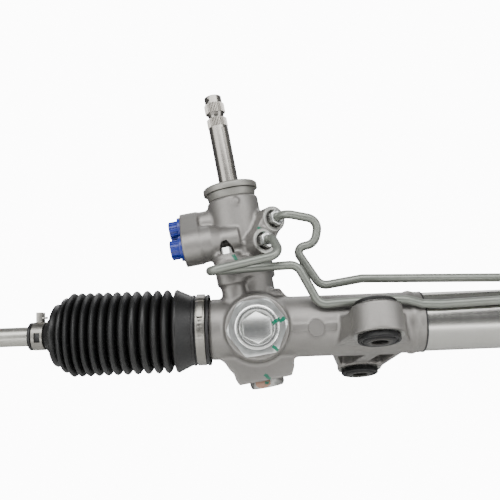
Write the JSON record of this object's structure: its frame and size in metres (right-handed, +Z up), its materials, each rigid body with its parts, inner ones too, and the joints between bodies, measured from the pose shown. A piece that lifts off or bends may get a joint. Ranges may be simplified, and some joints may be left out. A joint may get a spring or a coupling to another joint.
{
  "type": "power steering gear",
  "caption": "Hydraulic rack-and-pinion steering gear with tilted valve tower, steel lines, ribbed boots and tie rods.",
  "frame": {"origin": "middle of the front mounting bush's bore", "axes": "+X along the rack towards the hydraulic cylinder, +Y away from the rack guide, +Z up towards the input shaft"},
  "size_m": [1.165, 0.1645, 0.2865],
  "materials": {
    "cast_aluminium": "satin, blasted casting",
    "steel_tube": "brushed tube",
    "bright_steel": "turned and ground",
    "zinc": "zinc plated",
    "line_steel": "coated steel line",
    "dark_steel": "black paint",
    "oiled_steel": "oiled, hardened",
    "bronze": "turned",
    "black_rubber": "matte moulded rubber",
    "blue_plastic": "moulded plastic",
    "white_plastic": "moulded plastic"
  },
  "bodies": {
    "root": {"gear_housing": "cast_aluminium", "valve_housing": "cast_aluminium", "valve_housing_bolts": "zinc", "dust_cover": "cast_aluminium", "cylinder_tube": "steel_tube", "inner_seal_holder": "zinc", "rack_bulkhead": "zinc", "rack_seals": "black_rubber", "bulkhead_snap_ring": "bright_steel", "rack_guide": "zinc", "guide_liner": "white_plastic", "guide_o_ring": "black_rubber", "guide_spring": "oiled_steel", "guide_cap": "zinc", "guide_lock_nut": "zinc", "bottom_plug": "zinc", "lower_bearing_race": "oiled_steel", "lower_bearing_balls": "oiled_steel", "pinion_needle_bearing": "oiled_steel", "pinion_seal": "black_rubber", "valve_bearing": "oiled_steel", "input_shaft_seal": "black_rubber", "input_circlip": "bright_steel", "pressure_plug": "blue_plastic", "return_plug": "blue_plastic", "near_line": "line_steel", "far_line": "line_steel", "union_nuts": "zinc", "left_boot": "black_rubber", "right_boot": "black_rubber", "left_boot_clamp": "zinc", "right_boot_clamp": "zinc", "front_bush_rubber": "black_rubber", "front_bush_sleeve": "zinc", "rear_bush_rubber": "black_rubber", "rear_bush_sleeve": "zinc", "saddle_rubber": "black_rubber", "saddle_bracket": "dark_steel"},
    "rack": {"rack_bar": "oiled_steel", "rack_piston": "oiled_steel", "piston_ring": "black_rubber", "claw_washers": "oiled_steel", "left_socket": "dark_steel", "right_socket": "dark_steel", "left_ball_seat": "white_plastic", "right_ball_seat": "white_plastic"},
    "pinion_group": {"pinion": "oiled_steel", "pinion_nut": "oiled_steel", "lower_bearing_inner": "oiled_steel", "valve_sleeve": "bronze", "sleeve_rings": "white_plastic"},
    "input_group": {"input_shaft": "bright_steel", "torsion_bar": "oiled_steel", "torsion_pin": "oiled_steel"},
    "left_tie": {"left_tie_rod": "bright_steel", "left_boot_clip": "zinc"},
    "right_tie": {"right_tie_rod": "bright_steel", "right_boot_clip": "zinc"}
  },
  "joints": [
    {"name": "rack_slide", "type": "slide", "parent": "root", "child": "rack", "axis": [1, 0, 0], "range_m": [-0.072, 0.072], "deforming": ["left_boot", "right_boot"]},
    {"name": "pinion_turn", "type": "hinge", "parent": "root", "child": "pinion_group", "pos_m": [-0.102, 0.0649, -0.00094], "axis": [-0.1513, 0, 0.9885], "range_deg": [-591, 591]},
    {"name": "input_twist", "type": "hinge", "parent": "pinion_group", "child": "input_group", "pos_m": [-0.102, 0.0649, -0.00094], "axis": [-0.1513, 0, 0.9885], "range_deg": [-4.5, 4.5], "stiffness_Nm_per_rad": 42},
    {"name": "left_tie_swing", "type": "hinge", "parent": "rack", "child": "left_tie", "pos_m": [-0.237, 0.04862, -0.00094], "axis": [0, 1, 0], "range_deg": [-20, 20], "deforming": ["left_boot"]},
    {"name": "right_tie_swing", "type": "hinge", "parent": "rack", "child": "right_tie", "pos_m": [0.458, 0.04862, -0.00094], "axis": [0, 1, 0], "range_deg": [-20, 20], "deforming": ["right_boot"]}
  ],
  "couplings": [
    {"joint": "pinion_turn", "follows": "rack_slide", "rad_per_m": 143.02}
  ]
}
